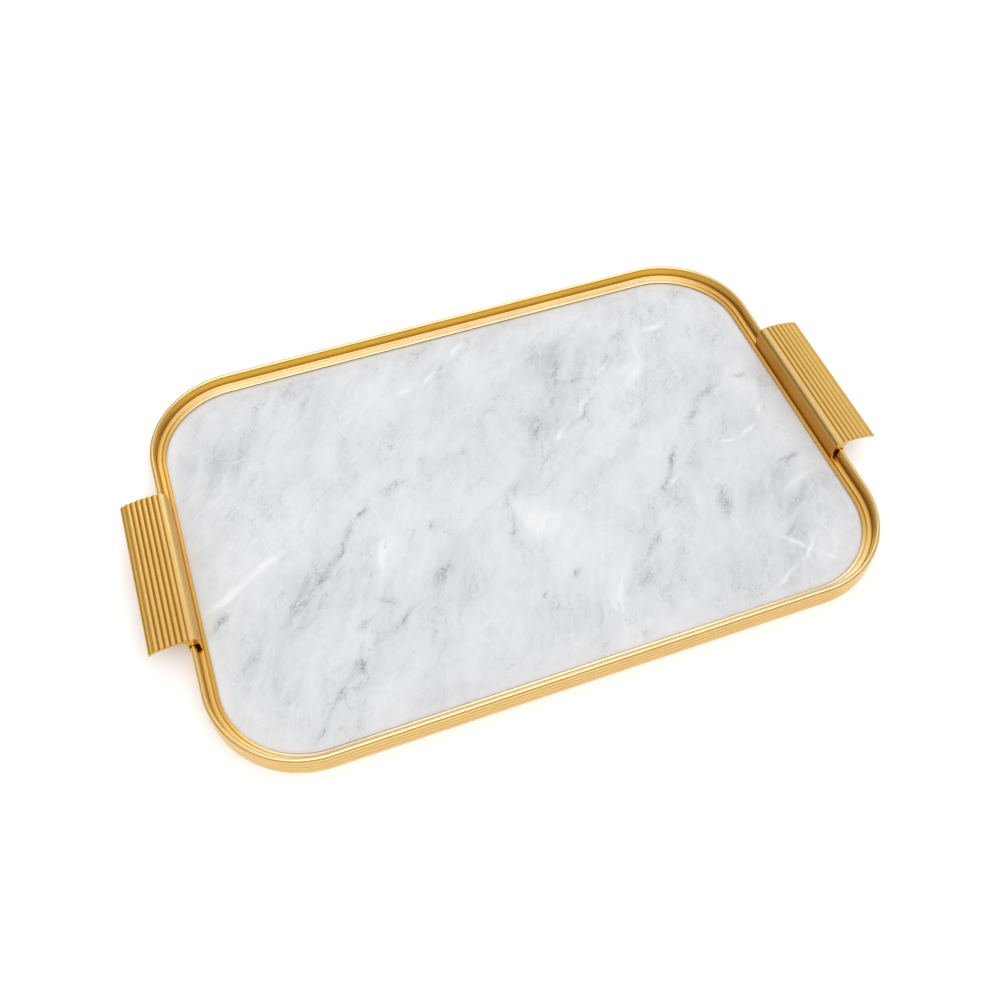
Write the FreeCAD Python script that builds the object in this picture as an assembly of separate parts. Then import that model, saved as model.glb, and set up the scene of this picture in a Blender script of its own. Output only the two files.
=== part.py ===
import FreeCAD, Part
import math
import os

# Dresser vanity tray: a marble-faced board held in a fluted gold aluminium rim,
# with a ribbed wing handle clipped over the rim at each short end.
# Frame: X along the tray, Y across it, Z up. The origin is on the resting plane,
# under the centre of the tray. All sizes are in millimetres.

# Rim, as seen from above
RIM_LENGTH = 456.0
RIM_WIDTH = 308.6
CORNER_RADIUS = 64.5

# Rim section: "inset" runs inwards from the outermost face, height runs up from the resting plane
RIM_HEIGHT = 16.85
FLUTE_PITCH = 4.1
FLUTE_DEPTH = 0.75
FOOT_INSET = 0.1
BEAD_OUTER = 0.5
BEAD_INNER = 3.3
BEAD_FOOT = 15.9
WALL_FOOT_INSET = 3.8
WALL_FOOT_HEIGHT = 9.8
SHELF_INSET = 4.5
SHELF_HEIGHT = 8.6
RIDGE_INSET = 6.3
RIDGE_HEIGHT = 8.1
SEAT_INSET = 6.5
SEAT_HEIGHT = 7.2
LEDGE_INSET = 7.35
LEDGE_HEIGHT = 7.5
LIP_INSET = 9.3
LIP_THICKNESS = 0.8
UNDERCUT_DEPTH = 0.9
UNDERCUT_TOP = 6.2
LOWER_LIP_INSET = 10.0
LOWER_LIP_THICKNESS = 1.5
EDGE_ROUND = 0.4
COVE_RISE = 0.3

# Board in the rim's slot
BOARD_INSET = 3.9
SLOT_INSET = 3.6
BACKING_THICKNESS = 0.6
CORE_THICKNESS = 2.1
FACING_THICKNESS = 0.8

# Key chamber inside the rim's wall, and the joiner keys that slide into it
CHAMBER_INSET = 1.5
CHAMBER_WIDTH = 1.4
CHAMBER_FOOT = 9.2
CHAMBER_HEIGHT = 5.2
KEY_CLEARANCE = 0.1
KEY_LENGTH = 96.0

# Handles: "out" runs outwards from the rim's outermost face
HANDLE_LENGTH = 114.0
RIB_PITCH = 3.65
RIB_DEPTH = 1.0
RIB_COUNT = 6
FIRST_GROOVE = -1.0
CROWN_HEIGHT = 25.2
CROWN_CENTRE = 2.4
CROWN_RADIUS = 75.0
WING_THICKNESS = 2.2
LEG_FACE = -7.1
SEAT_CLEARANCE = 0.1
FOOT_TAPER = 1.4
LEG_THICKNESS = 1.1
SHOULDER_RADIUS = 5.2
SHOULDER_HEIGHT = 24.6
OUTER_LEG_FOOT = 10.4
TIP_OUT = 24.5
TIP_HEIGHT = 19.5
TIP_THICKNESS = 1.3
TIP_RISE = 0.95
CURL_DROP = 0.3
BAND_EDGE_RISE = 0.1
CHANNEL_TOP = 17.3
CHANNEL_ROUND = 0.7
ROOT_OUT = 4.2
ROOT_HEIGHT = 19.8
ROOT_RISE = 0.9

# Rivets through the handle's outer leg, the rim's wall and the joiner key
RIVET_PLACES = (-40.0, -15.0, 15.0, 40.0)
RIVET_HEIGHT = 12.2
RIVET_DIAMETER = 2.4
RIVET_HEAD_DIAMETER = 4.4
RIVET_HEAD_THICKNESS = 0.8
DRILL_REACH = 10.0

# Height of a quarter circle's middle over its chord, for a radius of one
QUARTER_RISE = 1.0 - math.sqrt(0.5)

HALF_LENGTH = RIM_LENGTH / 2.0
HALF_WIDTH = RIM_WIDTH / 2.0
BOARD_THICKNESS = BACKING_THICKNESS + CORE_THICKNESS + FACING_THICKNESS
SLOT_TOP = LOWER_LIP_THICKNESS + BOARD_THICKNESS


class Outline:
    """A closed outline drawn in a vertical plane across the X axis, from lines and arcs."""

    def __init__(self, x_zero, x_sign, start):
        self.x_zero = x_zero
        self.x_sign = x_sign
        self.here = self.place(start)
        self.edges = []

    def place(self, point):
        return FreeCAD.Vector(self.x_zero + self.x_sign * point[0], 0.0, point[1])

    def line(self, end):
        target = self.place(end)
        self.edges.append(Part.LineSegment(self.here, target).toShape())
        self.here = target

    def arc(self, middle, end):
        target = self.place(end)
        self.edges.append(Part.Arc(self.here, self.place(middle), target).toShape())
        self.here = target

    def bow(self, end, rise):
        """An arc to the end point whose middle stands off the chord, to the left of the way there."""
        start = (self.x_sign * (self.here.x - self.x_zero), self.here.z)
        along = (end[0] - start[0], end[1] - start[1])
        chord = math.hypot(along[0], along[1])
        middle_x = (start[0] + end[0]) / 2.0 - along[1] / chord * rise
        middle_z = (start[1] + end[1]) / 2.0 + along[0] / chord * rise
        self.arc((middle_x, middle_z), end)

    def wire(self):
        return Part.Wire(self.edges)


def rounded_plate(inset, bottom, thickness):
    """A flat plate with the rim's outline moved inwards by the inset."""
    length = RIM_LENGTH - 2.0 * inset
    width = RIM_WIDTH - 2.0 * inset
    plate = Part.makeBox(length, width, thickness, FreeCAD.Vector(-length / 2.0, -width / 2.0, bottom))
    upright = [edge for edge in plate.Edges if is_upright(edge)]
    return plate.makeFillet(CORNER_RADIUS - inset, upright)


def is_upright(edge):
    direction = edge.Vertexes[1].Point - edge.Vertexes[0].Point
    return abs(direction.x) < 1e-6 and abs(direction.y) < 1e-6


def rim_section():
    """The extrusion's section at the left end of the tray, with the key chamber cut out."""
    outline = Outline(-HALF_LENGTH, 1.0, (FOOT_INSET, 0.0))
    flute_feet = [BEAD_FOOT - FLUTE_PITCH * count for count in (3, 2, 1, 0)]
    outline.arc((0.0, flute_feet[0] / 2.0), (FLUTE_DEPTH, flute_feet[0]))
    for foot in flute_feet[:-1]:
        outline.arc((0.0, foot + FLUTE_PITCH / 2.0), (FLUTE_DEPTH, foot + FLUTE_PITCH))
    outline.line((BEAD_OUTER, BEAD_FOOT))
    outline.arc(((BEAD_OUTER + BEAD_INNER) / 2.0, RIM_HEIGHT), (BEAD_INNER, BEAD_FOOT))
    outline.line((WALL_FOOT_INSET, WALL_FOOT_HEIGHT))
    outline.bow((SHELF_INSET, SHELF_HEIGHT), -COVE_RISE)
    outline.line((RIDGE_INSET, RIDGE_HEIGHT))
    outline.bow((SEAT_INSET, RIDGE_HEIGHT - EDGE_ROUND), EDGE_ROUND * QUARTER_RISE)
    outline.line((SEAT_INSET, SEAT_HEIGHT))
    outline.line((SEAT_CLEARANCE - LEG_FACE, SEAT_HEIGHT))
    outline.line((LEDGE_INSET, LEDGE_HEIGHT))
    lip_top = UNDERCUT_TOP + LIP_THICKNESS
    outline.line((LIP_INSET - EDGE_ROUND / 2.0, lip_top))
    outline.line((LIP_INSET, lip_top - EDGE_ROUND / 2.0))
    outline.line((LIP_INSET, UNDERCUT_TOP))
    outline.line((LIP_INSET - UNDERCUT_DEPTH, UNDERCUT_TOP))
    outline.line((LIP_INSET - UNDERCUT_DEPTH, SLOT_TOP))
    outline.line((SLOT_INSET, SLOT_TOP))
    outline.line((SLOT_INSET, LOWER_LIP_THICKNESS))
    outline.line((LOWER_LIP_INSET, LOWER_LIP_THICKNESS))
    outline.line((LOWER_LIP_INSET, EDGE_ROUND))
    outline.bow((LOWER_LIP_INSET - EDGE_ROUND, 0.0), -EDGE_ROUND * QUARTER_RISE)
    outline.line((FOOT_INSET, 0.0))
    chamber = Outline(-HALF_LENGTH, 1.0, (CHAMBER_INSET, CHAMBER_FOOT))
    chamber.line((CHAMBER_INSET + CHAMBER_WIDTH, CHAMBER_FOOT))
    chamber.line((CHAMBER_INSET + CHAMBER_WIDTH, CHAMBER_FOOT + CHAMBER_HEIGHT))
    chamber.line((CHAMBER_INSET, CHAMBER_FOOT + CHAMBER_HEIGHT))
    chamber.line((CHAMBER_INSET, CHAMBER_FOOT))
    return Part.Face([outline.wire(), chamber.wire()])


def front_half_runs(section):
    """The rim's front half as straight runs and bends, from the left joint to the right one."""
    straight_x = HALF_LENGTH - CORNER_RADIUS
    straight_y = HALF_WIDTH - CORNER_RADIUS
    upwards = FreeCAD.Vector(0.0, 0.0, 1.0)
    left_run = section.extrude(FreeCAD.Vector(0.0, -straight_y, 0.0))
    bend_start = section.copy()
    bend_start.translate(FreeCAD.Vector(0.0, -straight_y, 0.0))
    bend_centre = FreeCAD.Vector(-straight_x, -straight_y, 0.0)
    left_bend = bend_start.revolve(bend_centre, upwards, 90.0)
    front_start = bend_start.copy()
    front_start.rotate(bend_centre, upwards, 90.0)
    front_run = front_start.extrude(FreeCAD.Vector(2.0 * straight_x, 0.0, 0.0))
    across = FreeCAD.Vector(1.0, 0.0, 0.0)
    centre = FreeCAD.Vector(0.0, 0.0, 0.0)
    return [left_run, left_bend, front_run, left_bend.mirror(centre, across), left_run.mirror(centre, across)]


def across_x(diameter, start, length, y):
    """A round bar along X at rivet height."""
    place = FreeCAD.Vector(start, y, RIVET_HEIGHT)
    return Part.makeCylinder(diameter / 2.0, length, place, FreeCAD.Vector(1.0, 0.0, 0.0))


def rivet_holes(side):
    """One bar for each rivet's shank at the right (side 1) or left (side -1) end, as a cutting tool."""
    start = side * HALF_LENGTH - DRILL_REACH
    return [across_x(RIVET_DIAMETER, start, 2.0 * DRILL_REACH, y) for y in RIVET_PLACES]


def rim_half(side):
    """The front (side -1) or back (side 1) half of the bent rim."""
    runs = front_half_runs(rim_section())
    half = runs[0].fuse(runs[1:]).removeSplitter()
    if side > 0:
        half = half.mirror(FreeCAD.Vector(0.0, 0.0, 0.0), FreeCAD.Vector(0.0, 1.0, 0.0))
    return half.cut(rivet_holes(1) + rivet_holes(-1))


def joiner_key(side):
    """The flat bar inside the rim's wall that joins the two halves under a handle."""
    width = CHAMBER_WIDTH - 2.0 * KEY_CLEARANCE
    height = CHAMBER_HEIGHT - KEY_CLEARANCE
    inner = HALF_LENGTH - CHAMBER_INSET - CHAMBER_WIDTH + KEY_CLEARANCE
    start = inner if side > 0 else -inner - width
    corner = FreeCAD.Vector(start, -KEY_LENGTH / 2.0, CHAMBER_FOOT)
    return Part.makeBox(width, KEY_LENGTH, height, corner).cut(rivet_holes(side))


def crown(out):
    """Height of the rib tops over the wing."""
    return CROWN_HEIGHT - (out - CROWN_CENTRE) ** 2 / (2.0 * CROWN_RADIUS)


def handle_section():
    """The handle's section: inner leg, smooth band, ribbed wing, curled lip and outer leg."""
    inner_face = LEG_FACE + LEG_THICKNESS
    outline = Outline(HALF_LENGTH, 1.0, (LEG_FACE, SEAT_HEIGHT))
    outline.line((LEG_FACE, SHOULDER_HEIGHT - SHOULDER_RADIUS))
    outline.bow((LEG_FACE + SHOULDER_RADIUS, SHOULDER_HEIGHT), SHOULDER_RADIUS * QUARTER_RISE)
    groove = FIRST_GROOVE
    outline.bow((groove, crown(groove) - RIB_DEPTH), BAND_EDGE_RISE)
    for count in range(RIB_COUNT):
        following = groove + RIB_PITCH
        middle = (groove + following) / 2.0
        outline.arc((middle, crown(middle)), (following, crown(following) - RIB_DEPTH))
        groove = following
    outline.bow((TIP_OUT, TIP_HEIGHT), TIP_RISE)
    curl_end = TIP_OUT - TIP_THICKNESS
    outline.bow((curl_end, TIP_HEIGHT - CURL_DROP), TIP_THICKNESS / 2.0)
    under_tip = curl_end - WING_THICKNESS
    outline.line((under_tip, crown(under_tip) - WING_THICKNESS))
    middle = (under_tip + ROOT_OUT) / 2.0
    outline.arc((middle, crown(middle) - WING_THICKNESS), (ROOT_OUT, crown(ROOT_OUT) - WING_THICKNESS))
    outline.bow((LEG_THICKNESS, ROOT_HEIGHT), -ROOT_RISE)
    foot = OUTER_LEG_FOOT + LEG_THICKNESS / 2.0
    outline.line((LEG_THICKNESS, foot))
    outline.bow((0.0, foot), LEG_THICKNESS / 2.0)
    outline.line((0.0, CHANNEL_TOP - CHANNEL_ROUND))
    outline.bow((-CHANNEL_ROUND, CHANNEL_TOP), -CHANNEL_ROUND * QUARTER_RISE)
    outline.line((inner_face + CHANNEL_ROUND, CHANNEL_TOP))
    outline.bow((inner_face, CHANNEL_TOP - CHANNEL_ROUND), -CHANNEL_ROUND * QUARTER_RISE)
    outline.line((inner_face, SEAT_HEIGHT + FOOT_TAPER))
    outline.line((-SEAT_INSET, SEAT_HEIGHT))
    outline.line((LEG_FACE, SEAT_HEIGHT))
    return Part.Face(outline.wire())


def handle(side):
    """The right (side 1) or left (side -1) handle: one length of the ribbed extrusion, cut square."""
    section = handle_section()
    section.translate(FreeCAD.Vector(0.0, -HANDLE_LENGTH / 2.0, 0.0))
    bar = section.extrude(FreeCAD.Vector(0.0, HANDLE_LENGTH, 0.0))
    leg_holes = [across_x(RIVET_DIAMETER, HALF_LENGTH, DRILL_REACH, y) for y in RIVET_PLACES]
    bar = bar.cut(leg_holes)
    if side < 0:
        bar.rotate(FreeCAD.Vector(0.0, 0.0, 0.0), FreeCAD.Vector(0.0, 0.0, 1.0), 180.0)
    return bar


def rivet(y):
    """A rivet of the right handle, with a head on the outer leg and one on the rim's inner face."""
    grip_out = HALF_LENGTH + LEG_THICKNESS
    slope = (WALL_FOOT_INSET - BEAD_INNER) / (BEAD_FOOT - WALL_FOOT_HEIGHT)
    low_edge = RIVET_HEIGHT - RIVET_HEAD_DIAMETER / 2.0
    wall = HALF_LENGTH - WALL_FOOT_INSET + slope * (low_edge - WALL_FOOT_HEIGHT)
    shank = across_x(RIVET_DIAMETER, wall, grip_out - wall, y)
    outer_head = across_x(RIVET_HEAD_DIAMETER, grip_out, RIVET_HEAD_THICKNESS, y)
    inner_head = across_x(RIVET_HEAD_DIAMETER, wall - RIVET_HEAD_THICKNESS, RIVET_HEAD_THICKNESS, y)
    return shank.fuse([outer_head, inner_head]).removeSplitter()


def handle_rivets(side):
    """The rivets of one handle, as separate solids."""
    rivets = Part.makeCompound([rivet(y) for y in RIVET_PLACES])
    if side < 0:
        rivets.rotate(FreeCAD.Vector(0.0, 0.0, 0.0), FreeCAD.Vector(0.0, 0.0, 1.0), 180.0)
    return rivets


def tray_parts():
    core_bottom = LOWER_LIP_THICKNESS + BACKING_THICKNESS
    facing_bottom = core_bottom + CORE_THICKNESS
    return {
        "rim_front": rim_half(-1),
        "rim_back": rim_half(1),
        "joiner_key_left": joiner_key(-1),
        "joiner_key_right": joiner_key(1),
        "marble_laminate": rounded_plate(BOARD_INSET, facing_bottom, FACING_THICKNESS),
        "core_board": rounded_plate(BOARD_INSET, core_bottom, CORE_THICKNESS),
        "backing_laminate": rounded_plate(BOARD_INSET, LOWER_LIP_THICKNESS, BACKING_THICKNESS),
        "handle_left": handle(-1),
        "handle_right": handle(1),
        "handle_rivets_left": handle_rivets(-1),
        "handle_rivets_right": handle_rivets(1),
    }


def main():
    os.makedirs("parts", exist_ok=True)
    for name, shape in tray_parts().items():
        shape.exportStep(f"parts/{name}.step")
        box = shape.BoundBox
        print(f"{name}: valid {shape.isValid()}, solids {len(shape.Solids)}, volume {shape.Volume:.0f} mm3, "
              f"size {box.XLength:.2f} x {box.YLength:.2f} x {box.ZLength:.2f}")


main()
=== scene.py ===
import math

import bmesh
import bpy
from mathutils import Matrix, Vector
from mathutils.geometry import tessellate_polygon


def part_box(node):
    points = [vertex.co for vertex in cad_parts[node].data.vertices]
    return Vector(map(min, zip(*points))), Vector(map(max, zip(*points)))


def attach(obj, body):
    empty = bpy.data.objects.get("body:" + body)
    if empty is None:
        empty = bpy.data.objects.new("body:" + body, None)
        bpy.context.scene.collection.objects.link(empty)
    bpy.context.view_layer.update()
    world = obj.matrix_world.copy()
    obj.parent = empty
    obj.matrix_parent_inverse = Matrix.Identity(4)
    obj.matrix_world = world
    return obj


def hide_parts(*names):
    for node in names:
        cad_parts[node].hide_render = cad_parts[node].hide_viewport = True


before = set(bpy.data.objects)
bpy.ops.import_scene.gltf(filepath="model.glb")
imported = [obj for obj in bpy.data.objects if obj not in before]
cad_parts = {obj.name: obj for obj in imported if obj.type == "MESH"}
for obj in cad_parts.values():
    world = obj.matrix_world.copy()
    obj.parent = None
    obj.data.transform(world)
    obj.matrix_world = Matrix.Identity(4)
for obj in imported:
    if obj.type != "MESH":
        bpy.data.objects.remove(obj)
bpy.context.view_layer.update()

MM = 0.001

# Rim section, in millimetres: inset inwards from the outermost face, and height
FLUTE_PITCH = 4.1
FLUTE_DEPTH = 0.75
FOOT_INSET = 0.1
BEAD_OUTER = 0.5
BEAD_INNER = 3.3
BEAD_FOOT = 15.9
WALL_FOOT = (3.8, 9.8)
SHELF = (4.5, 8.6)
RIDGE = (6.3, 8.1)
SEAT_INSET = 6.5
SEAT_HEIGHT = 7.2
LEDGE = (7.35, 7.5)
LIP_INSET = 9.3
LIP_TOP = 7.0
UNDERCUT_DEPTH = 0.9
UNDERCUT_TOP = 6.2
BOARD_TOP = 5.0
SLOT_INSET = 3.6
LOWER_LIP_INSET = 10.0
LOWER_LIP_THICKNESS = 1.5
CORNER_RADIUS = 64.5
EDGE_ROUND = 0.4
COVE_RISE = 0.3

# Handle section, in millimetres: out from the rim's outermost face, and height
RIB_PITCH = 3.65
RIB_DEPTH = 1.0
RIB_COUNT = 6
FIRST_GROOVE = -1.0
CROWN_HEIGHT = 25.2
CROWN_CENTRE = 2.4
CROWN_RADIUS = 75.0
WING_THICKNESS = 2.2
LEG_FACE = -7.1
LEG_THICKNESS = 1.1
SEAT_CLEARANCE = 0.1
FOOT_TAPER = 1.4
SHOULDER_RADIUS = 5.2
SHOULDER_HEIGHT = 24.6
BAND_EDGE_RISE = 0.1
OUTER_LEG_FOOT = 10.4
TIP_OUT = 24.5
TIP_HEIGHT = 19.5
TIP_THICKNESS = 1.3
TIP_RISE = 0.95
CURL_DROP = 0.3
CHANNEL_TOP = 17.3
CHANNEL_ROUND = 0.7
ROOT_OUT = 4.2
ROOT_HEIGHT = 19.8
ROOT_RISE = 0.9
END_BEVEL = 0.15

# Height of a quarter circle's middle over its chord, for a radius of one
QUARTER_RISE = 1.0 - math.sqrt(0.5)

# Edges sharper than this are drawn crisp, in degrees
SWEEP_CREASE = 32.0
RIVET_CREASE = 40.0

# Steps used where a curve is divided
ARC_STEPS = 10
BEND_STEPS = 40
RUN_STEP = 12.0
HANDLE_STEPS = 24

# Rivets, in millimetres: places along the handle, head and shank
RIVET_PLACES = (-40.0, -15.0, 15.0, 40.0)
RIVET_HEAD = 0.8
RIVET_SHANK_RADIUS = 1.2
RIVET_AROUND = 32
RIVET_DOME_STEPS = 6


# ---------------------------------------------------------------- outlines and sweeps

def circle_through(a, b, c):
    """Centre of the circle through three points of a plane."""
    d = 2.0 * (a[0] * (b[1] - c[1]) + b[0] * (c[1] - a[1]) + c[0] * (a[1] - b[1]))
    aa, bb, cc = (p[0] ** 2 + p[1] ** 2 for p in (a, b, c))
    x = (aa * (b[1] - c[1]) + bb * (c[1] - a[1]) + cc * (a[1] - b[1])) / d
    y = (aa * (c[0] - b[0]) + bb * (a[0] - c[0]) + cc * (b[0] - a[0])) / d
    return x, y


class Outline:
    """A closed section outline. Each point has a tone mark of painted light and shade: -1 painted highlight
    on a crest, 0 plain face, 1 painted shade in a groove.
    """

    def __init__(self, start, tone=0.0):
        self.points = [start]
        self.painted_shading = [tone]

    def line(self, end, tone=0.0, steps=1):
        start = self.points[-1]
        before = self.painted_shading[-1]
        for step in range(1, steps + 1):
            share = step / steps
            self.points.append(tuple(s + (e - s) * share for s, e in zip(start, end)))
            self.painted_shading.append(before + (tone - before) * share)

    def arc(self, middle, end, painted_shading, steps=ARC_STEPS):
        """An arc to the end point; the tone marks are spread evenly over it."""
        start = self.points[-1]
        centre = circle_through(start, middle, end)
        radius = math.dist(centre, start)
        angles = [math.atan2(p[1] - centre[1], p[0] - centre[0]) for p in (start, middle, end)]
        turn = (angles[2] - angles[0]) % math.tau
        if (angles[1] - angles[0]) % math.tau > turn:
            turn -= math.tau
        for step in range(1, steps + 1):
            share = step / steps
            angle = angles[0] + turn * share
            point = (centre[0] + radius * math.cos(angle), centre[1] + radius * math.sin(angle))
            self.points.append(end if step == steps else point)
            place = share * (len(painted_shading) - 1)
            below = min(int(place), len(painted_shading) - 2)
            self.painted_shading.append(painted_shading[below] + (painted_shading[below + 1] - painted_shading[below]) * (place - below))

    def bow(self, end, rise, painted_shading=(0.0, 0.0), steps=ARC_STEPS):
        """An arc to the end point whose middle stands off the chord, to the left of the way there."""
        start = self.points[-1]
        along = (end[0] - start[0], end[1] - start[1])
        chord = math.hypot(along[0], along[1])
        middle = ((start[0] + end[0]) / 2.0 - along[1] / chord * rise,
                  (start[1] + end[1]) / 2.0 + along[0] / chord * rise)
        self.arc(middle, end, painted_shading, steps)

    def closed(self):
        """The points and marks with the doubled closing point left out."""
        if math.dist(self.points[0], self.points[-1]) < 1e-6:
            return self.points[:-1], self.painted_shading[:-1]
        return self.points, self.painted_shading


# Painted light and shade across one flute of the rim and one rib of the handle: painted shade in the grooves,
# painted highlight on the crests.
FLUTE_PAINTED_SHADING = (0.8, -0.2, -0.45, -0.5, -0.45, -0.2, 0.8)
RIB_PAINTED_SHADING = (0.6, 0.0, -0.1, -0.1, 0.0, 0.2, 0.95)


# Tone marks of painted light and shade for the bead, wall, shelf, ridge, seat and ledge, on the short and on
# the long sides of the rim: the long sides are painted paler and the short sides darker, as light falls
# differently on them
SHORT_SIDE_PAINTED_SHADING = (-0.3, 0.9, 0.5, -0.3, 0.8, 0.5)
LONG_SIDE_PAINTED_SHADING = (-0.9, 0.2, -0.8, -0.9, -1.0, -1.0)


def rim_outline(bead, wall, shelf, ridge, seat, ledge):
    outline = Outline((FOOT_INSET, 0.0), tone=0.4)
    feet = [BEAD_FOOT - FLUTE_PITCH * count for count in (3, 2, 1, 0)]
    outline.arc((0.0, feet[0] / 2.0), (FLUTE_DEPTH, feet[0]), FLUTE_PAINTED_SHADING)
    for foot in feet[:-1]:
        outline.arc((0.0, foot + FLUTE_PITCH / 2.0), (FLUTE_DEPTH, foot + FLUTE_PITCH), FLUTE_PAINTED_SHADING)
    outline.line((BEAD_OUTER, BEAD_FOOT), tone=0.3)
    bead_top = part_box("rim_front")[1].z / MM
    outline.arc(((BEAD_OUTER + BEAD_INNER) / 2.0, bead_top), (BEAD_INNER, BEAD_FOOT), (0.2, bead, bead, 0.2))
    outline.line(WALL_FOOT, tone=wall, steps=4)
    outline.bow(SHELF, -COVE_RISE, painted_shading=(wall, 0.6, shelf))
    outline.line(RIDGE, tone=ridge, steps=2)
    outline.bow((SEAT_INSET, RIDGE[1] - EDGE_ROUND), EDGE_ROUND * QUARTER_RISE, painted_shading=(ridge, ridge), steps=4)
    outline.line((SEAT_INSET, SEAT_HEIGHT), tone=seat)
    outline.line((SEAT_CLEARANCE - LEG_FACE, SEAT_HEIGHT), tone=seat)
    outline.line(LEDGE, tone=ledge)
    outline.line((LIP_INSET - EDGE_ROUND / 2.0, LIP_TOP), tone=ledge, steps=2)
    outline.line((LIP_INSET, LIP_TOP - EDGE_ROUND / 2.0), tone=0.0)
    # Painted shade on the lip's edge and in the undercut below it.
    outline.line((LIP_INSET, UNDERCUT_TOP), tone=0.7)
    outline.line((LIP_INSET - UNDERCUT_DEPTH, UNDERCUT_TOP), tone=1.0)
    outline.line((LIP_INSET - UNDERCUT_DEPTH, BOARD_TOP), tone=1.0)
    outline.line((SLOT_INSET, BOARD_TOP))
    outline.line((SLOT_INSET, LOWER_LIP_THICKNESS))
    outline.line((LOWER_LIP_INSET, LOWER_LIP_THICKNESS))
    outline.line((LOWER_LIP_INSET, EDGE_ROUND))
    outline.bow((LOWER_LIP_INSET - EDGE_ROUND, 0.0), -EDGE_ROUND * QUARTER_RISE, steps=4)
    outline.line((FOOT_INSET, 0.0), tone=0.4)
    return outline.closed()


def crown(out):
    """Height of the rib tops over the wing."""
    return CROWN_HEIGHT - (out - CROWN_CENTRE) ** 2 / (2.0 * CROWN_RADIUS)


# Tone marks of the handles' inner legs: painted shade, deep on the right leg and slight on the left
LEG_PAINTED_SHADING = {-1: 0.3, 1: 1.0}


def handle_outline(leg):
    inner_face = LEG_FACE + LEG_THICKNESS
    outline = Outline((LEG_FACE, SEAT_HEIGHT), tone=leg)
    outline.line((LEG_FACE, SHOULDER_HEIGHT - SHOULDER_RADIUS), tone=leg, steps=4)
    # Painted highlight along the smooth band's rounded shoulder.
    outline.bow((LEG_FACE + SHOULDER_RADIUS, SHOULDER_HEIGHT), SHOULDER_RADIUS * QUARTER_RISE,
                painted_shading=(leg, 0.3, -0.2, -0.3, -0.2), steps=20)
    groove = FIRST_GROOVE
    outline.bow((groove, crown(groove) - RIB_DEPTH), BAND_EDGE_RISE, painted_shading=(-0.3, 0.2, 0.9))
    for count in range(RIB_COUNT):
        following = groove + RIB_PITCH
        middle = (groove + following) / 2.0
        outline.arc((middle, crown(middle)), (following, crown(following) - RIB_DEPTH), RIB_PAINTED_SHADING, steps=12)
        groove = following
    outline.bow((TIP_OUT, TIP_HEIGHT), TIP_RISE, painted_shading=(0.6, 0.0, 0.0, 0.0))
    curl_end = TIP_OUT - TIP_THICKNESS
    outline.bow((curl_end, TIP_HEIGHT - CURL_DROP), TIP_THICKNESS / 2.0)
    under_tip = curl_end - WING_THICKNESS
    outline.line((under_tip, crown(under_tip) - WING_THICKNESS))
    middle = (under_tip + ROOT_OUT) / 2.0
    outline.arc((middle, crown(middle) - WING_THICKNESS), (ROOT_OUT, crown(ROOT_OUT) - WING_THICKNESS),
                (0.0, 0.0))
    outline.bow((LEG_THICKNESS, ROOT_HEIGHT), -ROOT_RISE, painted_shading=(0.0, 0.3, 0.0))
    foot = OUTER_LEG_FOOT + LEG_THICKNESS / 2.0
    outline.line((LEG_THICKNESS, foot))
    outline.bow((0.0, foot), LEG_THICKNESS / 2.0)
    # Painted shade inside the channel that fits over the rim.
    outline.line((0.0, CHANNEL_TOP - CHANNEL_ROUND), tone=0.5)
    channel_rise = -CHANNEL_ROUND * QUARTER_RISE
    outline.bow((-CHANNEL_ROUND, CHANNEL_TOP), channel_rise, painted_shading=(0.5, 0.5), steps=4)
    outline.line((inner_face + CHANNEL_ROUND, CHANNEL_TOP), tone=0.5)
    outline.bow((inner_face, CHANNEL_TOP - CHANNEL_ROUND), channel_rise, painted_shading=(0.5, 0.5), steps=4)
    outline.line((inner_face, SEAT_HEIGHT + FOOT_TAPER), tone=0.5)
    outline.line((-SEAT_INSET, SEAT_HEIGHT))
    return outline.closed()


def shrunk(points, depth):
    """The outline moved into the metal by the depth, for a bevelled end."""
    count = len(points)
    area = sum(points[i][0] * points[(i + 1) % count][1] - points[(i + 1) % count][0] * points[i][1]
               for i in range(count))
    side = 1.0 if area > 0.0 else -1.0
    moved = []
    for index, point in enumerate(points):
        before = Vector(points[index - 1])
        after = Vector(points[(index + 1) % count])
        along = (after - before).normalized()
        moved.append((point[0] - side * along.y * depth, point[1] + side * along.x * depth))
    return moved


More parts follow.
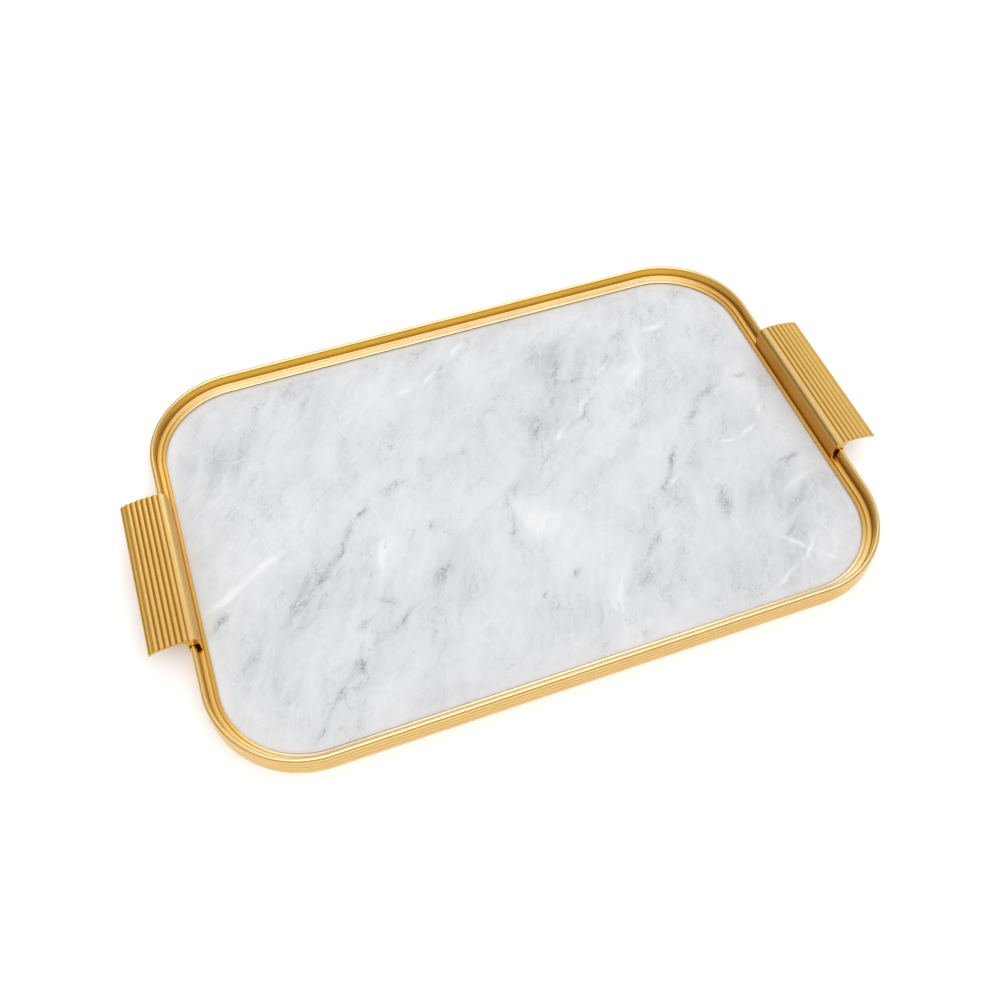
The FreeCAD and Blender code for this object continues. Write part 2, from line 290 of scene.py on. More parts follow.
def sweep(name, stations):
    """A closed mesh through equal rings. A station is (distance along, Vectors, marks of painted light and
    shade, marks of painted reflection).

    A painted reflection mark of 1 gives the warmest gold: a painted warm reflection on the walls of the long
    sides."""
    mesh = bpy.data.meshes.new(name)
    work = bmesh.new()
    strip = work.loops.layers.uv.new("strip")
    painted_shading_layer = work.verts.layers.float.new("tone")
    painted_reflection_layer = work.verts.layers.float.new("painted_reflection")
    rings = []
    for _, ring, painted_shading, painted_reflections in stations:
        row = [work.verts.new(point) for point in ring]
        for vertex, tone, painted_reflection in zip(row, painted_shading, painted_reflections):
            vertex[painted_shading_layer] = tone
            vertex[painted_reflection_layer] = painted_reflection
        rings.append(row)
    count = len(rings[0])
    around = [0.0]
    first = stations[len(stations) // 2][1]
    for index in range(count):
        around.append(around[-1] + (first[(index + 1) % count] - first[index]).length)
    for row in range(len(rings) - 1):
        for index in range(count):
            following = (index + 1) % count
            corners = (rings[row][index], rings[row][following],
                       rings[row + 1][following], rings[row + 1][index])
            places = ((row, index), (row, index + 1), (row + 1, index + 1), (row + 1, index))
            face = work.faces.new(corners)
            for loop, (station, place) in zip(face.loops, places):
                loop[strip].uv = (stations[station][0], around[place])
    for row in (0, len(rings) - 1):
        for triangle in tessellate_polygon([[vertex.co for vertex in rings[row]]]):
            face = work.faces.new([rings[row][corner] for corner in triangle])
            for loop in face.loops:
                loop[strip].uv = (loop.vert.co.x, loop.vert.co.z)
    bmesh.ops.recalc_face_normals(work, faces=work.faces)
    work.to_mesh(mesh)
    work.free()
    mesh.shade_smooth()
    mesh.set_sharp_from_angle(angle=math.radians(SWEEP_CREASE))
    piece = bpy.data.objects.new(name, mesh)
    bpy.context.scene.collection.objects.link(piece)
    return piece


def half_rim_line(side):
    """Stations round half of the rim: (distance along, point on the outermost line, inward direction)."""
    low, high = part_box("rim_front" if side < 0 else "rim_back")
    half_length = high.x
    half_width = max(abs(low.y), abs(high.y))
    radius = CORNER_RADIUS * MM
    straight_x = half_length - radius
    straight_y = half_width - radius
    stations = []

    def run(start, end, inward, along):
        length = (end - start).length
        steps = max(1, round(length / (RUN_STEP * MM)))
        for step in range(steps):
            stations.append((along + length * step / steps, start.lerp(end, step / steps), inward))
        return along + length

    def bend(centre, start_angle, along):
        length = radius * math.pi / 2.0
        for step in range(BEND_STEPS):
            angle = start_angle + math.pi / 2.0 * step / BEND_STEPS
            outward = Vector((math.cos(angle), math.sin(angle), 0.0))
            stations.append((along + length * step / BEND_STEPS, centre + outward * radius, -outward))
        return along + length

    along = run(Vector((-half_length, 0, 0)), Vector((-half_length, -straight_y, 0)), Vector((1, 0, 0)), 0.0)
    along = bend(Vector((-straight_x, -straight_y, 0)), math.pi, along)
    along = run(Vector((-straight_x, -half_width, 0)), Vector((straight_x, -half_width, 0)),
                Vector((0, 1, 0)), along)
    along = bend(Vector((straight_x, -straight_y, 0)), 1.5 * math.pi, along)
    end = Vector((half_length, 0, 0))
    along = run(Vector((half_length, -straight_y, 0)), end, Vector((-1, 0, 0)), along)
    stations.append((along, end, Vector((-1, 0, 0))))
    if side > 0:
        half_turn = Matrix.Rotation(math.pi, 3, "Z")
        stations = [(along, half_turn @ point, half_turn @ inward) for along, point, inward in stations]
    return stations


def rim_half(side):
    points, short_side_shading = rim_outline(*SHORT_SIDE_PAINTED_SHADING)
    long_side_shading = rim_outline(*LONG_SIDE_PAINTED_SHADING)[1]
    on_wall = [BEAD_INNER <= inset < SHELF[0] and WALL_FOOT[1] <= height < BEAD_FOOT
               for inset, height in points]
    stations = []
    for along, place, inward in half_rim_line(side):
        ring = [place + inward * (inset * MM) + Vector((0.0, 0.0, height * MM)) for inset, height in points]
        # The long sides are painted paler than the short sides, as light falls differently on them, blended
        # round the corners; the long sides' walls also get a painted warm reflection.
        share = inward.y ** 2
        painted_shading = [short + (long - short) * share for short, long in zip(short_side_shading, long_side_shading)]
        stations.append((along, ring, painted_shading, [share * wall for wall in on_wall]))
    return sweep("rim_front_strip" if side < 0 else "rim_back_strip", stations)


def handle(side):
    node = "handle_right" if side > 0 else "handle_left"
    low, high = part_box(node)
    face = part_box("rim_front")[1].x
    points, painted_shading = handle_outline(LEG_PAINTED_SHADING[side])
    bevelled = shrunk(points, END_BEVEL)
    bevel = END_BEVEL * MM
    length = high.y - low.y
    places = [(0.0, bevelled), (bevel, points)]
    for step in range(1, HANDLE_STEPS):
        places.append((bevel + (length - 2.0 * bevel) * step / HANDLE_STEPS, points))
    places += [(length - bevel, points), (length, bevelled)]
    stations = []
    for along, outline in places:
        y = low.y + along
        ring = [Vector((side * (face + out * MM), side * y, height * MM)) for out, height in outline]
        stations.append((along, ring, painted_shading, [0.0] * len(painted_shading)))
    return sweep(node + "_grip", stations)


def rivet_group(side):
    """Domed rivets with turned rings, one at each hole of the CAD group."""
    node = "handle_rivets_right" if side > 0 else "handle_rivets_left"
    low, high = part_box(node)
    radius = (high.z - low.z) / 2.0
    height = (high.z + low.z) / 2.0
    outer = high.x if side > 0 else -low.x
    inner = low.x if side > 0 else -high.x
    head = RIVET_HEAD * MM
    shank = RIVET_SHANK_RADIUS * MM
    profile = [(inner, 0.0), (inner, 0.7 * radius), (inner + 0.35 * head, 0.95 * radius),
               (inner + head, radius), (inner + head, shank), (outer - head, shank), (outer - head, radius)]
    for step in range(1, RIVET_DOME_STEPS + 1):
        angle = math.pi / 2.0 * step / RIVET_DOME_STEPS
        profile.append((outer - head + head * math.sin(angle), radius * math.cos(angle)))
    work = bmesh.new()
    for place in RIVET_PLACES:
        rings = []
        for x, distance in profile:
            count = 1 if distance < 1e-9 else RIVET_AROUND
            ring = []
            for step in range(count):
                angle = math.tau * step / RIVET_AROUND
                y = place * MM + distance * math.cos(angle)
                ring.append(work.verts.new((side * x, y, height + distance * math.sin(angle))))
            rings.append(ring)
        for ring, following in zip(rings, rings[1:]):
            for step in range(RIVET_AROUND):
                after = (step + 1) % RIVET_AROUND
                if len(ring) == 1:
                    work.faces.new((ring[0], following[step], following[after]))
                elif len(following) == 1:
                    work.faces.new((ring[step], following[0], ring[after]))
                else:
                    work.faces.new((ring[step], following[step], following[after], ring[after]))
    bmesh.ops.recalc_face_normals(work, faces=work.faces)
    mesh = bpy.data.meshes.new(node + "_domed")
    work.to_mesh(mesh)
    work.free()
    mesh.shade_smooth()
    mesh.set_sharp_from_angle(angle=math.radians(RIVET_CREASE))
    piece = bpy.data.objects.new(node + "_domed", mesh)
    bpy.context.scene.collection.objects.link(piece)
    return piece


# ---------------------------------------------------------------- materials

class Nodes:
    """Short calls for building one material's node tree."""

    def __init__(self, name):
        self.material = bpy.data.materials.new(name)
        self.material.use_nodes = True
        self.tree = self.material.node_tree
        self.shader = self.tree.nodes["Principled BSDF"]

    def add(self, kind, **inputs):
        node = self.tree.nodes.new(kind)
        for name, value in inputs.items():
            self.put(node.inputs[name.replace("_", " ")], value)
        return node

    def put(self, socket, value):
        if isinstance(value, bpy.types.NodeSocket):
            self.tree.links.new(value, socket)
        else:
            socket.default_value = value

    def math(self, operation, first, second=0.0):
        node = self.tree.nodes.new("ShaderNodeMath")
        node.operation = operation
        self.put(node.inputs[0], first)
        self.put(node.inputs[1], second)
        return node.outputs[0]

    def mapped(self, source, scale):
        node = self.tree.nodes.new("ShaderNodeMapping")
        self.put(node.inputs["Vector"], source)
        node.inputs["Scale"].default_value = scale
        return node.outputs[0]

    def noise(self, source, scale, detail=3.0, roughness=0.5):
        node = self.add("ShaderNodeTexNoise", Vector=source, Scale=scale, Detail=detail, Roughness=roughness)
        return node.outputs["Fac"]

    def range(self, value, low, high, to_low=0.0, to_high=1.0):
        node = self.tree.nodes.new("ShaderNodeMapRange")
        node.clamp = True
        self.put(node.inputs[0], value)
        for socket, number in zip(list(node.inputs)[1:5], (low, high, to_low, to_high)):
            self.put(socket, number)
        return node.outputs[0]

    def mix(self, share, first, second):
        node = self.tree.nodes.new("ShaderNodeMix")
        node.data_type = "RGBA"
        self.put(node.inputs["Factor"], share)
        self.put(node.inputs[6], first)
        self.put(node.inputs[7], second)
        return node.outputs[2]

    def bump(self, height, strength, distance):
        node = self.add("ShaderNodeBump", Height=height, Strength=strength, Distance=distance)
        self.put(self.shader.inputs["Normal"], node.outputs[0])


def uv(nodes, name):
    node = nodes.tree.nodes.new("ShaderNodeUVMap")
    node.uv_map = name
    return node.outputs[0]


def place_of(nodes):
    return nodes.tree.nodes.new("ShaderNodeTexCoord").outputs["Object"]


def attribute(nodes, name):
    node = nodes.tree.nodes.new("ShaderNodeAttribute")
    node.attribute_name = name
    return node.outputs["Fac"]


# The pale gold is a painted highlight on crests and beads, and a pale grain on the rivets; the deep gold is
# painted shade in grooves and recesses; the warmest gold is a painted warm reflection on the walls of the
# long sides.
GOLD = (0.79, 0.505, 0.135, 1.0)
GOLD_PALE = (0.85, 0.695, 0.45, 1.0)
GOLD_PAINTED_SHADE = (0.56, 0.225, 0.004, 1.0)
GOLD_BROWN = (0.62, 0.36, 0.09, 1.0)
GOLD_PAINTED_REFLECTION = (1.0, 0.58, 0.075, 1.0)


def anodised_gold(name):
    """Satin gold anodised aluminium: drawn grain along the bar, faint clouding, painted shade in grooves and
    recesses, painted highlight on crests, and a painted warm reflection on the long sides' walls.
    """
    nodes = Nodes(name)
    strip = uv(nodes, "strip")
    grain = nodes.noise(nodes.mapped(strip, scale=(18.0, 3200.0, 1.0)), 1.0, detail=4.0, roughness=0.6)
    lines = nodes.noise(nodes.mapped(strip, scale=(5.0, 900.0, 1.0)), 1.0, detail=2.0)
    cloud = nodes.noise(place_of(nodes), 38.0, detail=3.0)
    pits = nodes.noise(place_of(nodes), 2600.0, detail=2.0)
    # The tone mark mixes in painted highlight and painted shade, and the second attribute a painted warm
    # reflection.
    painted_shading_mark = attribute(nodes, "tone")
    tone = nodes.mix(nodes.range(painted_shading_mark, -1.0, 0.0, 1.0, 0.0), GOLD, GOLD_PALE)
    tone = nodes.mix(nodes.range(painted_shading_mark, 0.0, 1.0), tone, GOLD_PAINTED_SHADE)
    tone = nodes.mix(attribute(nodes, "painted_reflection"), tone, GOLD_PAINTED_REFLECTION)
    tone = nodes.mix(nodes.range(lines, 0.45, 0.85, 0.0, 0.30), tone, GOLD_BROWN)
    tone = nodes.mix(nodes.range(cloud, 0.45, 0.75, 0.0, 0.20), tone, GOLD_BROWN)
    nodes.put(nodes.shader.inputs["Base Color"], tone)
    nodes.shader.inputs["Metallic"].default_value = 1.0
    nodes.put(nodes.shader.inputs["Roughness"], nodes.range(grain, 0.25, 0.75, 0.23, 0.36))
    height = nodes.math("ADD", nodes.math("MULTIPLY", grain, 0.8), nodes.math("MULTIPLY", pits, 0.2))
    nodes.bump(height, 0.25, 0.00003)
    return nodes.material


# Marble strokes, in millimetres on the tray: (x, y, direction in degrees, length, width, strength)
GREY_CLOUDS = (
    (72, 100, 62, 120, 48, 0.55), (40, 42, 48, 90, 30, 0.50), (165, 30, 35, 90, 34, 0.45),
    (150, -60, 70, 70, 36, 0.50), (185, -75, 38, 110, 44, 0.55), (165, -115, 50, 70, 40, 0.35),
    (-185, 80, 66, 110, 46, 0.45), (-110, 120, 50, 90, 34, 0.40), (-150, -38, 48, 110, 30, 0.45),
    (-185, -80, 45, 90, 32, 0.45), (-110, -62, 20, 90, 26, 0.35), (-60, -62, 15, 90, 34, 0.30),
    (-12, 60, 66, 120, 34, 0.28), (70, -100, 55, 110, 26, 0.35), (-25, 95, 50, 70, 22, 0.35),
    (120, 90, 46, 90, 22, 0.30), (10, -110, 70, 120, 50, 0.20), (110, -120, 60, 80, 40, 0.20),
)
WHITE_CLOUDS = (
    (-93, -22, 76, 110, 20, 0.8), (14, -38, 20, 60, 26, 0.8), (122, 66, 60, 120, 20, 0.6),
    (42, -112, 58, 110, 16, 0.8), (-150, 10, 30, 130, 60, 0.4), (-75, 105, 60, 110, 26, 0.4),
    (-125, -80, 45, 80, 18, 0.6), (30, -60, 20, 90, 40, 0.4), (95, 20, 75, 90, 22, 0.4),
    (-35, -20, 65, 100, 40, 0.3), (200, 20, 55, 80, 16, 0.4),
)
GREY_VEINS = (
    (-113, -1, 58, 30, 3.0, 1.1), (-101, 10, 38, 22, 2.0, 0.8), (-137, -27, 44, 52, 3.6, 1.0),
    (-122, -13, 52, 30, 2.8, 1.0),
    (-157, -44, 40, 30, 4.0, 0.9), (-208, -41, 32, 30, 3.0, 0.7), (-132, -99, 28, 22, 4.2, 1.0),
    (-150, -115, 50, 44, 2.6, 0.7), (-165, -132, 52, 30, 2.4, 0.5), (-98, -76, 38, 44, 2.8, 0.7),
    (-105, -60, -32, 26, 2.4, 0.6), (-122, -72, 34, 26, 2.4, 0.6), (-64, -53, 38, 34, 3.6, 0.8),
    (-59, -15, 60, 16, 3.4, 0.6), (-66, 59, 40, 12, 3.6, 0.8), (-74, 25, 18, 42, 4.6, 0.45),
    (-10, -38, 70, 40, 2.2, 0.7), (4, -8, 60, 20, 2.0, 0.6), (-6, -91, 55, 12, 2.6, 0.8),
    (18, -82, 35, 22, 2.4, 0.8), (62, -100, 46, 36, 2.4, 0.8), (78, -77, 42, 46, 2.6, 0.7),
    (102, -37, 44, 26, 2.6, 0.9), (117, -19, 58, 40, 2.0, 0.9), (146, 12, 38, 46, 3.4, 0.9),
    (166, 28, 22, 44, 2.8, 0.8), (198, 36, -8, 24, 3.4, 0.6), (137, -62, 74, 40, 5.5, 0.9),
    (36, 38, 50, 54, 4.6, 0.6), (56, 57, 40, 22, 3.0, 0.5), (70, 88, 68, 70, 3.6, 0.5),
    (78, 72, -12, 32, 3.6, 0.7), (72, 40, 34, 46, 2.2, 0.6), (108, 82, 56, 46, 2.2, 0.5),
    (128, 103, 30, 34, 2.2, 0.4), (166, 120, 45, 30, 2.4, 0.5), (-172, 82, 60, 54, 5.0, 0.4),
    (-113, 118, 44, 46, 3.2, 0.4), (184, -78, 32, 66, 3.0, 0.6), (196, -44, 20, 34, 3.0, 0.7),
    (170, -98, 38, 44, 2.6, 0.5), (-196, -72, 46, 60, 4.0, 0.4), (180, 88, 80, 34, 2.6, 0.4),
)
WHITE_VEINS = (
    (-202, -24, 31, 56, 3.4, 1.5), (-172, -9, 27, 50, 3.0, 1.2), (-44, 102, 6, 30, 2.4, 0.6),
    (-22, 110, 38, 36, 2.2, 0.8), (6, 130, 42, 44, 2.2, 0.8), (50, 28, 34, 44, 2.6, 0.6),
    (76, 48, 44, 40, 2.6, 0.6), (104, 76, 40, 34, 2.4, 0.6), (156, 102, 4, 34, 2.8, 0.8),
    (161, -17, 2, 28, 1.8, 0.8), (180, -13, 24, 30, 1.8, 0.8), (196, 2, 62, 36, 2.2, 0.6),
    (146, -130, 28, 50, 2.0, 0.7), (172, -116, 46, 44, 2.0, 0.8), (165, -108, -46, 40, 2.0, 0.7),
    (184, -126, -44, 34, 2.0, 0.7), (192, -64, 18, 54, 2.0, 0.6), (112, -34, 26, 40, 2.2, 0.6),
)
STROKE_SPREAD = 1.7
MARBLE_LIGHT = (0.655, 0.675, 0.702, 1.0)
MARBLE_GREY = (0.482, 0.501, 0.525, 1.0)
MARBLE_VEIN = (0.235, 0.265, 0.252, 1.0)
MARBLE_WHITE = (0.765, 0.780, 0.790, 1.0)
# Painted light: the marble near the lip is painted paler and warmer, up to 8 mm in, where the rim shades it
# and reflects gold onto it.
MARBLE_PAINTED_RIM_LIGHT = (0.880, 0.862, 0.822, 1.0)
PAINTED_LIGHT_REACH = 0.008
PAINTED_LIGHT_SHARE = 0.45


def strokes(nodes, place, rows):
    """The sum of soft, tapered strokes laid on the tray's top."""
    total = None
    for x, y, degrees, length, width, strength in rows:
        turn = math.radians(degrees)
        node = nodes.tree.nodes.new("ShaderNodeMapping")
        node.vector_type = "TEXTURE"
        nodes.put(node.inputs["Vector"], place)
        node.inputs["Location"].default_value = (x * MM, y * MM, 0.0)
        node.inputs["Rotation"].default_value = (0.0, 0.0, turn)
        node.inputs["Scale"].default_value = (length * MM / 2.0, width * STROKE_SPREAD * MM, 1.0)
        ball = nodes.tree.nodes.new("ShaderNodeTexGradient")
        ball.gradient_type = "QUADRATIC_SPHERE"
        nodes.put(ball.inputs["Vector"], node.outputs[0])
        amount = nodes.math("MULTIPLY", ball.outputs["Fac"], strength)
        total = amount if total is None else nodes.math("ADD", total, amount)
    return total


def shifted(nodes, place, scale, reach, detail=3.0):
    """The place moved about sideways by noise, so that what is drawn there wanders."""
    noise = nodes.add("ShaderNodeTexNoise", Vector=place, Scale=scale, Detail=detail)
    centred = nodes.tree.nodes.new("ShaderNodeVectorMath")
    centred.operation = "SUBTRACT"
    nodes.put(centred.inputs[0], noise.outputs["Color"])
    centred.inputs[1].default_value = (0.5, 0.5, 0.5)
    moved = nodes.tree.nodes.new("ShaderNodeVectorMath")
    moved.operation = "MULTIPLY_ADD"
    nodes.put(moved.inputs[0], centred.outputs[0])
    moved.inputs[1].default_value = (reach, reach, 0.0)
    nodes.put(moved.inputs[2], place)
    return moved.outputs[0]


def flat_place(nodes):
    """The place on the tray with height left out."""
    node = nodes.tree.nodes.new("ShaderNodeVectorMath")
    node.operation = "MULTIPLY"
    nodes.put(node.inputs[0], place_of(nodes))
    node.inputs[1].default_value = (1.0, 1.0, 0.0)
    return node.outputs[0]


def laid(nodes, place, degrees, along, across):
    """Coordinates for noise drawn out along a direction on the tray; its grain in millimetres."""
    node = nodes.tree.nodes.new("ShaderNodeMapping")
    node.vector_type = "TEXTURE"
    nodes.put(node.inputs["Vector"], place)
    node.inputs["Rotation"].default_value = (0.0, 0.0, math.radians(degrees))
    node.inputs["Scale"].default_value = (along * MM, across * MM, 1.0)
    return node.outputs[0]


def thread(nodes, noise, width):
    """A thin line wherever the noise crosses its middle value."""
    gap = nodes.math("ABSOLUTE", nodes.math("SUBTRACT", noise, 0.5))
    return nodes.range(gap, 0.0, width, 1.0, 0.0)


def lip_gap(nodes, place):
    """Distance on the tray from the rim's lip to the place, up to the corner's radius."""
    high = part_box("rim_back")[1]
    radius = (CORNER_RADIUS - LIP_INSET) * MM
    straight = (high.x - CORNER_RADIUS * MM, high.y - CORNER_RADIUS * MM, 0.0)
    value = place
    for operation, other in (("ABSOLUTE", None), ("SUBTRACT", straight), ("MAXIMUM", (0.0, 0.0, 0.0))):
        node = nodes.tree.nodes.new("ShaderNodeVectorMath")
        node.operation = operation
        nodes.put(node.inputs[0], value)
        if other is not None:
            node.inputs[1].default_value = other
        value = node.outputs[0]
    length = nodes.tree.nodes.new("ShaderNodeVectorMath")
    length.operation = "LENGTH"
    nodes.put(length.inputs[0], value)
    return nodes.math("SUBTRACT", radius, length.outputs["Value"])


def marble():
    """White marble: soft grey clouds, broken grey veins and white wisps, most of them running one way, with a
    painted warm light near the lip.
    """
    nodes = Nodes("marble_face")
    place = flat_place(nodes)
    swirl = shifted(nodes, place, 11.0, 0.040, detail=2.0)
    ragged = shifted(nodes, place, 60.0, 0.009, detail=5.0)
    loose = shifted(nodes, place, 24.0, 0.045, detail=4.0)
    clouds = nodes.noise(laid(nodes, swirl, 56.0, 70.0, 30.0), 1.0, detail=6.0, roughness=0.62)
    streaks = nodes.noise(laid(nodes, swirl, 64.0, 46.0, 11.0), 1.0, detail=6.0, roughness=0.66)
    mottle = nodes.noise(place, 85.0, detail=6.0, roughness=0.66)
    specks = nodes.noise(place, 420.0, detail=3.0, roughness=0.6)

    grey = nodes.math("MULTIPLY", strokes(nodes, loose, GREY_CLOUDS),
                      nodes.range(streaks, 0.32, 0.66, 0.25, 1.5))
    grey = nodes.math("ADD", grey, nodes.range(clouds, 0.46, 0.72, 0.0, 0.55))
    grey = nodes.math("ADD", grey, nodes.range(streaks, 0.52, 0.74, 0.0, 0.25))
    grey = nodes.math("ADD", grey, nodes.range(mottle, 0.50, 0.80, 0.0, 0.40))
    tone = nodes.mix(nodes.math("MINIMUM", grey, 1.0), MARBLE_LIGHT, MARBLE_GREY)

    white = nodes.math("MULTIPLY", strokes(nodes, loose, WHITE_CLOUDS),
                       nodes.range(streaks, 0.34, 0.62, 1.3, 0.2))
    white = nodes.math("ADD", white, nodes.range(clouds, 0.24, 0.44, 0.45, 0.0))
    white = nodes.math("ADD", white, nodes.range(streaks, 0.28, 0.44, 0.35, 0.0))
    tone = nodes.mix(nodes.math("MINIMUM", white, 1.0), tone, MARBLE_WHITE)

    cracks = nodes.noise(laid(nodes, ragged, 60.0, 60.0, 26.0), 1.0, detail=5.0, roughness=0.6)
    fine = thread(nodes, cracks, 0.016)
    patchy = nodes.range(clouds, 0.46, 0.60)
    fine = nodes.math("MULTIPLY", nodes.math("MULTIPLY", fine, patchy),
                      nodes.range(specks, 0.36, 0.60, 0.0, 0.45))
    tone = nodes.mix(fine, tone, MARBLE_VEIN)

    seams = nodes.noise(laid(nodes, ragged, 54.0, 26.0, 7.0), 1.0, detail=4.0, roughness=0.62)
    lines = thread(nodes, seams, 0.055)
    core = nodes.math("ADD", nodes.math("MULTIPLY", lines, 0.9), 0.55)
    mask = strokes(nodes, ragged, GREY_VEINS)
    vein = nodes.math("MULTIPLY", nodes.math("MULTIPLY", mask, core),
                      nodes.range(specks, 0.35, 0.55, 0.45, 1.2))
    tone = nodes.mix(nodes.math("MINIMUM", vein, 0.85), tone, MARBLE_VEIN)
    glints = nodes.math("MULTIPLY", mask, nodes.range(nodes.noise(place, 640.0, detail=2.0), 0.56, 0.66))
    tone = nodes.mix(nodes.math("MINIMUM", glints, 0.9), tone, MARBLE_WHITE)

    wisps = nodes.noise(laid(nodes, ragged, 48.0, 70.0, 34.0), 1.3, detail=4.0, roughness=0.6)
    pale = nodes.math("MULTIPLY", thread(nodes, wisps, 0.018), nodes.range(streaks, 0.44, 0.58, 0.0, 0.42))
    pale = nodes.math("ADD", pale, nodes.math("MULTIPLY", strokes(nodes, ragged, WHITE_VEINS), 1.4))
    tone = nodes.mix(nodes.math("MINIMUM", pale, 1.0), tone, MARBLE_WHITE)

    # Painted light near the lip, where the rim shades the marble.
    painted_rim_light = nodes.range(lip_gap(nodes, place), 0.0, PAINTED_LIGHT_REACH, PAINTED_LIGHT_SHARE, 0.0)
    tone = nodes.mix(painted_rim_light, tone, MARBLE_PAINTED_RIM_LIGHT)
    nodes.put(nodes.shader.inputs["Base Color"], tone)
    nodes.put(nodes.shader.inputs["Roughness"], nodes.range(mottle, 0.3, 0.7, 0.30, 0.40))
    nodes.shader.inputs["Specular IOR Level"].default_value = 0.5
    nodes.bump(specks, 0.05, 0.00002)
    return nodes.material


def fibreboard():
    nodes = Nodes("core_fibreboard")
    place = place_of(nodes)
    fibres = nodes.noise(nodes.mapped(place, scale=(1.0, 1.0, 6.0)), 700.0, detail=6.0, roughness=0.7)
    nodes.put(nodes.shader.inputs["Base Color"],
              nodes.mix(nodes.range(fibres, 0.3, 0.7), (0.17, 0.09, 0.045, 1.0), (0.32, 0.19, 0.10, 1.0)))
    nodes.put(nodes.shader.inputs["Roughness"], nodes.range(fibres, 0.3, 0.7, 0.75, 0.92))
    nodes.bump(fibres, 0.4, 0.0001)
    return nodes.material


def backing():
    nodes = Nodes("backing_sheet")
    place = place_of(nodes)
    speck = nodes.noise(place, 1400.0, detail=3.0)
    weave = nodes.noise(place, 90.0, detail=4.0)
    tone = nodes.mix(nodes.range(weave, 0.3, 0.7), (0.040, 0.036, 0.033, 1.0), (0.062, 0.056, 0.050, 1.0))
    tone = nodes.mix(nodes.range(speck, 0.6, 0.72, 0.0, 0.4), tone, (0.13, 0.12, 0.11, 1.0))
    nodes.put(nodes.shader.inputs["Base Color"], tone)
    nodes.put(nodes.shader.inputs["Roughness"], nodes.range(speck, 0.3, 0.7, 0.48, 0.62))
    nodes.bump(speck, 0.3, 0.00005)
    return nodes.material


def mill_aluminium(name):
    nodes = Nodes(name)
    place = place_of(nodes)
    drawn = nodes.noise(nodes.mapped(place, scale=(2200.0, 18.0, 2200.0)), 1.0, detail=3.0)
    nodes.put(nodes.shader.inputs["Base Color"],
              nodes.mix(nodes.range(drawn, 0.3, 0.7), (0.60, 0.60, 0.61, 1.0), (0.76, 0.76, 0.77, 1.0)))
    nodes.shader.inputs["Metallic"].default_value = 1.0
    nodes.put(nodes.shader.inputs["Roughness"], nodes.range(drawn, 0.3, 0.7, 0.30, 0.46))
    nodes.bump(drawn, 0.2, 0.00003)
    return nodes.material


def turned_gold():
    """The rivets' gold, with fine turned rings."""
    nodes = Nodes("rivet_gold")
    place = place_of(nodes)
    fine = nodes.noise(place, 1800.0, detail=3.0)
    nodes.put(nodes.shader.inputs["Base Color"], nodes.mix(nodes.range(fine, 0.3, 0.7), GOLD, GOLD_PALE))
    nodes.shader.inputs["Metallic"].default_value = 1.0
    nodes.put(nodes.shader.inputs["Roughness"], nodes.range(fine, 0.3, 0.7, 0.28, 0.42))
    nodes.bump(fine, 0.2, 0.00003)
    return nodes.material


FLOOR_GLOW = 0.08


def floor_material():
    nodes = Nodes("floor_paper")
    paper = nodes.noise(place_of(nodes), 300.0, detail=3.0)
    nodes.put(nodes.shader.inputs["Base Color"],
              nodes.mix(nodes.range(paper, 0.3, 0.7), (0.93, 0.93, 0.93, 1.0), (0.95, 0.95, 0.95, 1.0)))
    nodes.put(nodes.shader.inputs["Roughness"], nodes.range(paper, 0.3, 0.7, 0.9, 1.0))
    nodes.shader.inputs["Specular IOR Level"].default_value = 0.0
    nodes.shader.inputs["Emission Color"].default_value = (1.0, 1.0, 1.0, 1.0)
    nodes.shader.inputs["Emission Strength"].default_value = FLOOR_GLOW
    return nodes.material


# ---------------------------------------------------------------- pieces

def dress(piece, material):
    piece.data.materials.clear()
    piece.data.materials.append(material)


def build_pieces():
    rim_gold = anodised_gold("rim_gold")
    handle_gold = anodised_gold("handle_gold")
    rivet_gold = turned_gold()
    for side, node in ((-1, "rim_front"), (1, "rim_back")):
        piece = rim_half(side)
        dress(piece, rim_gold)
        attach(piece, "root")
        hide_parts(node)
    for side, word in ((-1, "left"), (1, "right")):
        grip = handle(side)
        dress(grip, handle_gold)
        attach(grip, "root")
        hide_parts("handle_" + word)
        rivets = rivet_group(side)
        dress(rivets, rivet_gold)
        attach(rivets, "root")
        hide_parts("handle_rivets_" + word)
    keys = mill_aluminium("key_aluminium")
    for node, material in (("marble_laminate", marble()), ("core_board", fibreboard()),
                           ("backing_laminate", backing()),
                           ("joiner_key_left", keys), ("joiner_key_right", keys)):
        dress(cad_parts[node], material)


# ---------------------------------------------------------------- stage, light and camera

# The floor's reach each way and its depth below the rim, in metres
FLOOR_REACH = 3.0
FLOOR_DROP = 0.00005


def build_floor():
    """A wide pale floor, a hair below the rim so that the two don't share a plane."""
    mesh = bpy.data.meshes.new("floor")
    corners = [(x * FLOOR_REACH, y * FLOOR_REACH, -FLOOR_DROP)
               for x, y in ((-1, -1), (1, -1), (1, 1), (-1, 1))]
    mesh.from_pydata(corners, [], [(0, 1, 2, 3)])
    floor = bpy.data.objects.new("floor", mesh)
    bpy.context.scene.collection.objects.link(floor)
    dress(floor, floor_material())


def softbox(name, place, size, watts):
    """A rectangular lamp that faces the origin."""
    light = bpy.data.lights.new(name, "AREA")
    light.shape = "RECTANGLE"
    light.size, light.size_y = size
    light.energy = watts
    lamp = bpy.data.objects.new(name, light)
    lamp.location = place
    lamp.rotation_euler = (-Vector(place)).to_track_quat("-Z", "Y").to_euler()
    bpy.context.scene.collection.objects.link(lamp)


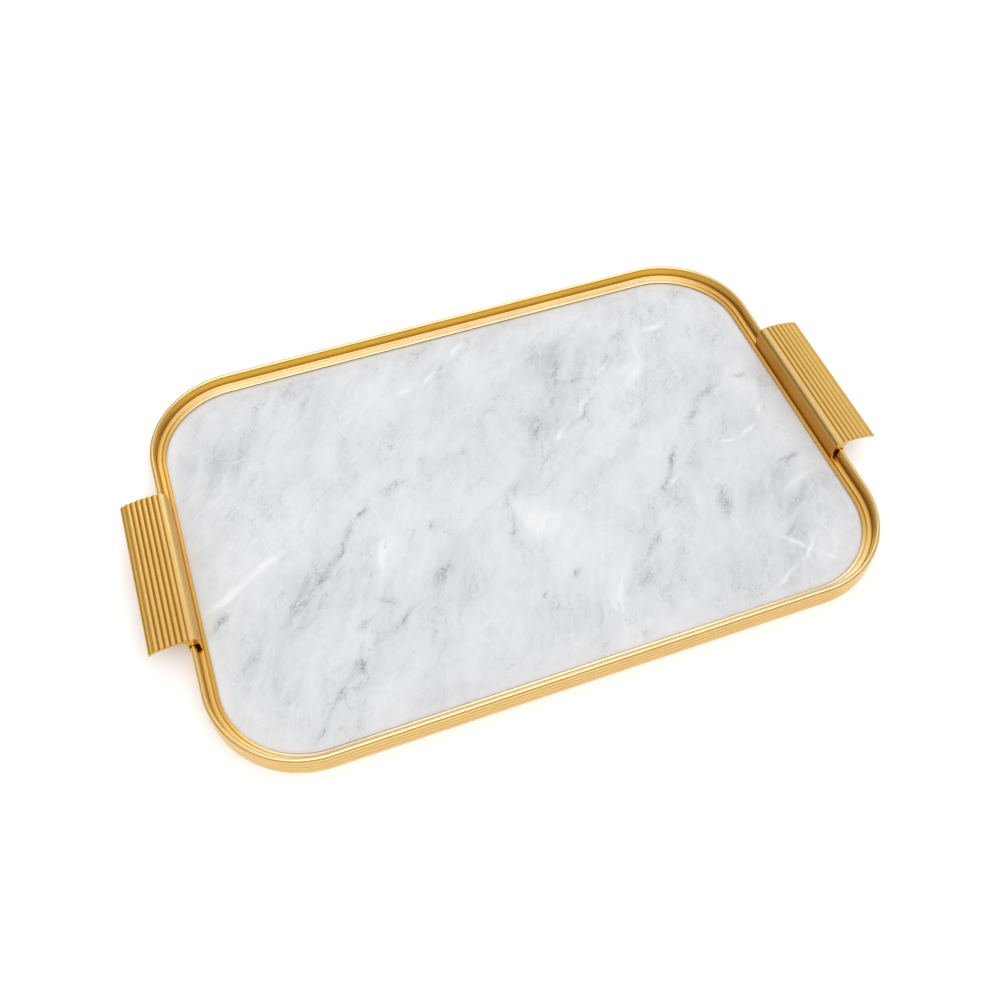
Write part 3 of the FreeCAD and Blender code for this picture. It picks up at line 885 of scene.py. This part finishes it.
# The room, as radiance seen in a direction: a ceiling, brighter in front, over a dark horizon
# that glows behind the right-hand end
CEILING_RISE = (0.35, 0.80)
CEILING_BACK = 1.0
CEILING_FRONT = 2.15
FRONT_TURN = (0.10, -0.40)
HORIZON_DARK = 0.22
HORIZON_GLOW = 0.80
GLOW_RISE_X = (0.05, 0.60)
GLOW_RISE_Y = (-0.10, 0.30)

# Softboxes: place and size in metres, power in watts
BACK_SOFTBOX = ((0.30, 1.25, 0.88), (1.00, 0.36), 2.4)
FRONT_SOFTBOX = ((-0.25, -1.00, 1.35), (1.00, 0.60), 2.0)


def build_light():
    world = bpy.data.worlds.new("studio")
    world.use_nodes = True
    bpy.context.scene.world = world
    tree = world.node_tree
    background = tree.nodes["Background"]
    way = tree.nodes.new("ShaderNodeTexCoord")
    split = tree.nodes.new("ShaderNodeSeparateXYZ")
    tree.links.new(way.outputs["Generated"], split.inputs[0])

    def ramp(value, span, low=0.0, high=1.0):
        node = tree.nodes.new("ShaderNodeMapRange")
        node.interpolation_type = "SMOOTHSTEP"
        tree.links.new(value, node.inputs[0])
        for socket, number in zip(list(node.inputs)[1:5], (span[0], span[1], low, high)):
            if isinstance(number, bpy.types.NodeSocket):
                tree.links.new(number, socket)
            else:
                socket.default_value = number
        return node.outputs[0]

    ceiling = ramp(split.outputs["Y"], FRONT_TURN, CEILING_BACK, CEILING_FRONT)
    glow_across = ramp(split.outputs["X"], GLOW_RISE_X, HORIZON_DARK, HORIZON_GLOW)
    horizon = ramp(split.outputs["Y"], GLOW_RISE_Y, HORIZON_DARK, glow_across)
    tree.links.new(ramp(split.outputs["Z"], CEILING_RISE, horizon, ceiling), background.inputs["Strength"])
    background.inputs["Color"].default_value = (1.0, 1.0, 1.0, 1.0)
    softbox("back_softbox", *BACK_SOFTBOX)
    softbox("front_softbox", *FRONT_SOFTBOX)


CAMERA_AZIMUTH = -20.339
CAMERA_ELEVATION = 55.750
CAMERA_ROLL = 0.655
CAMERA_PLACE = (-0.15185, -0.39596, 0.60833)
CAMERA_LENS = 38.35


def build_camera():
    azimuth = math.radians(CAMERA_AZIMUTH)
    elevation = math.radians(CAMERA_ELEVATION)
    back = Vector((math.sin(azimuth) * math.cos(elevation), -math.cos(azimuth) * math.cos(elevation),
                   math.sin(elevation)))
    level = Vector((math.cos(azimuth), math.sin(azimuth), 0.0))
    turned = Matrix.Rotation(math.radians(CAMERA_ROLL), 3, back)
    right = turned @ level
    up = turned @ back.cross(level)
    lens = bpy.data.cameras.new("camera")
    lens.sensor_width = 36.0
    lens.lens = CAMERA_LENS
    lens.clip_start = 0.01
    camera = bpy.data.objects.new("camera", lens)
    camera.matrix_world = Matrix((
        (right.x, up.x, back.x, CAMERA_PLACE[0]),
        (right.y, up.y, back.y, CAMERA_PLACE[1]),
        (right.z, up.z, back.z, CAMERA_PLACE[2]),
        (0.0, 0.0, 0.0, 1.0)))
    bpy.context.scene.collection.objects.link(camera)
    bpy.context.scene.camera = camera


build_camera()
build_floor()
build_light()
build_pieces()
bpy.context.scene.view_settings.view_transform = "Standard"
